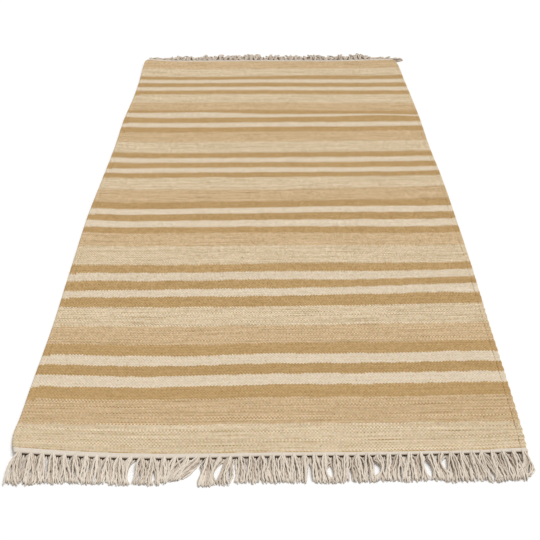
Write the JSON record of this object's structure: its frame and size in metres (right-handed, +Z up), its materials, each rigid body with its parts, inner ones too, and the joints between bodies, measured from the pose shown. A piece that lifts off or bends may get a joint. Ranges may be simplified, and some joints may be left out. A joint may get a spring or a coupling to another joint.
{
  "type": "striped kilim rug",
  "caption": "Flat-woven wool kilim in ochre, tan and cream stripes, lying flat, with a cotton heading and a tasselled fringe at both ends; covers a floor.",
  "frame": {"origin": "on the floor, under the middle of the rug", "axes": "+X across the rug to the right as seen from the front end, +Y along it from the front end to the back end, +Z up"},
  "size_m": [0.7123, 1.5051, 0.004],
  "materials": {
    "wool_weave": "matt weft-faced wool flatweave in ochre, tan, oat and cream stripes",
    "cotton_fringe": "matt undyed twisted cotton warp cords"
  },
  "bodies": {
    "root": {"woven_cloth": "wool_weave", "front_fringe": "cotton_fringe", "back_fringe": "cotton_fringe"}
  },
  "joints": []
}
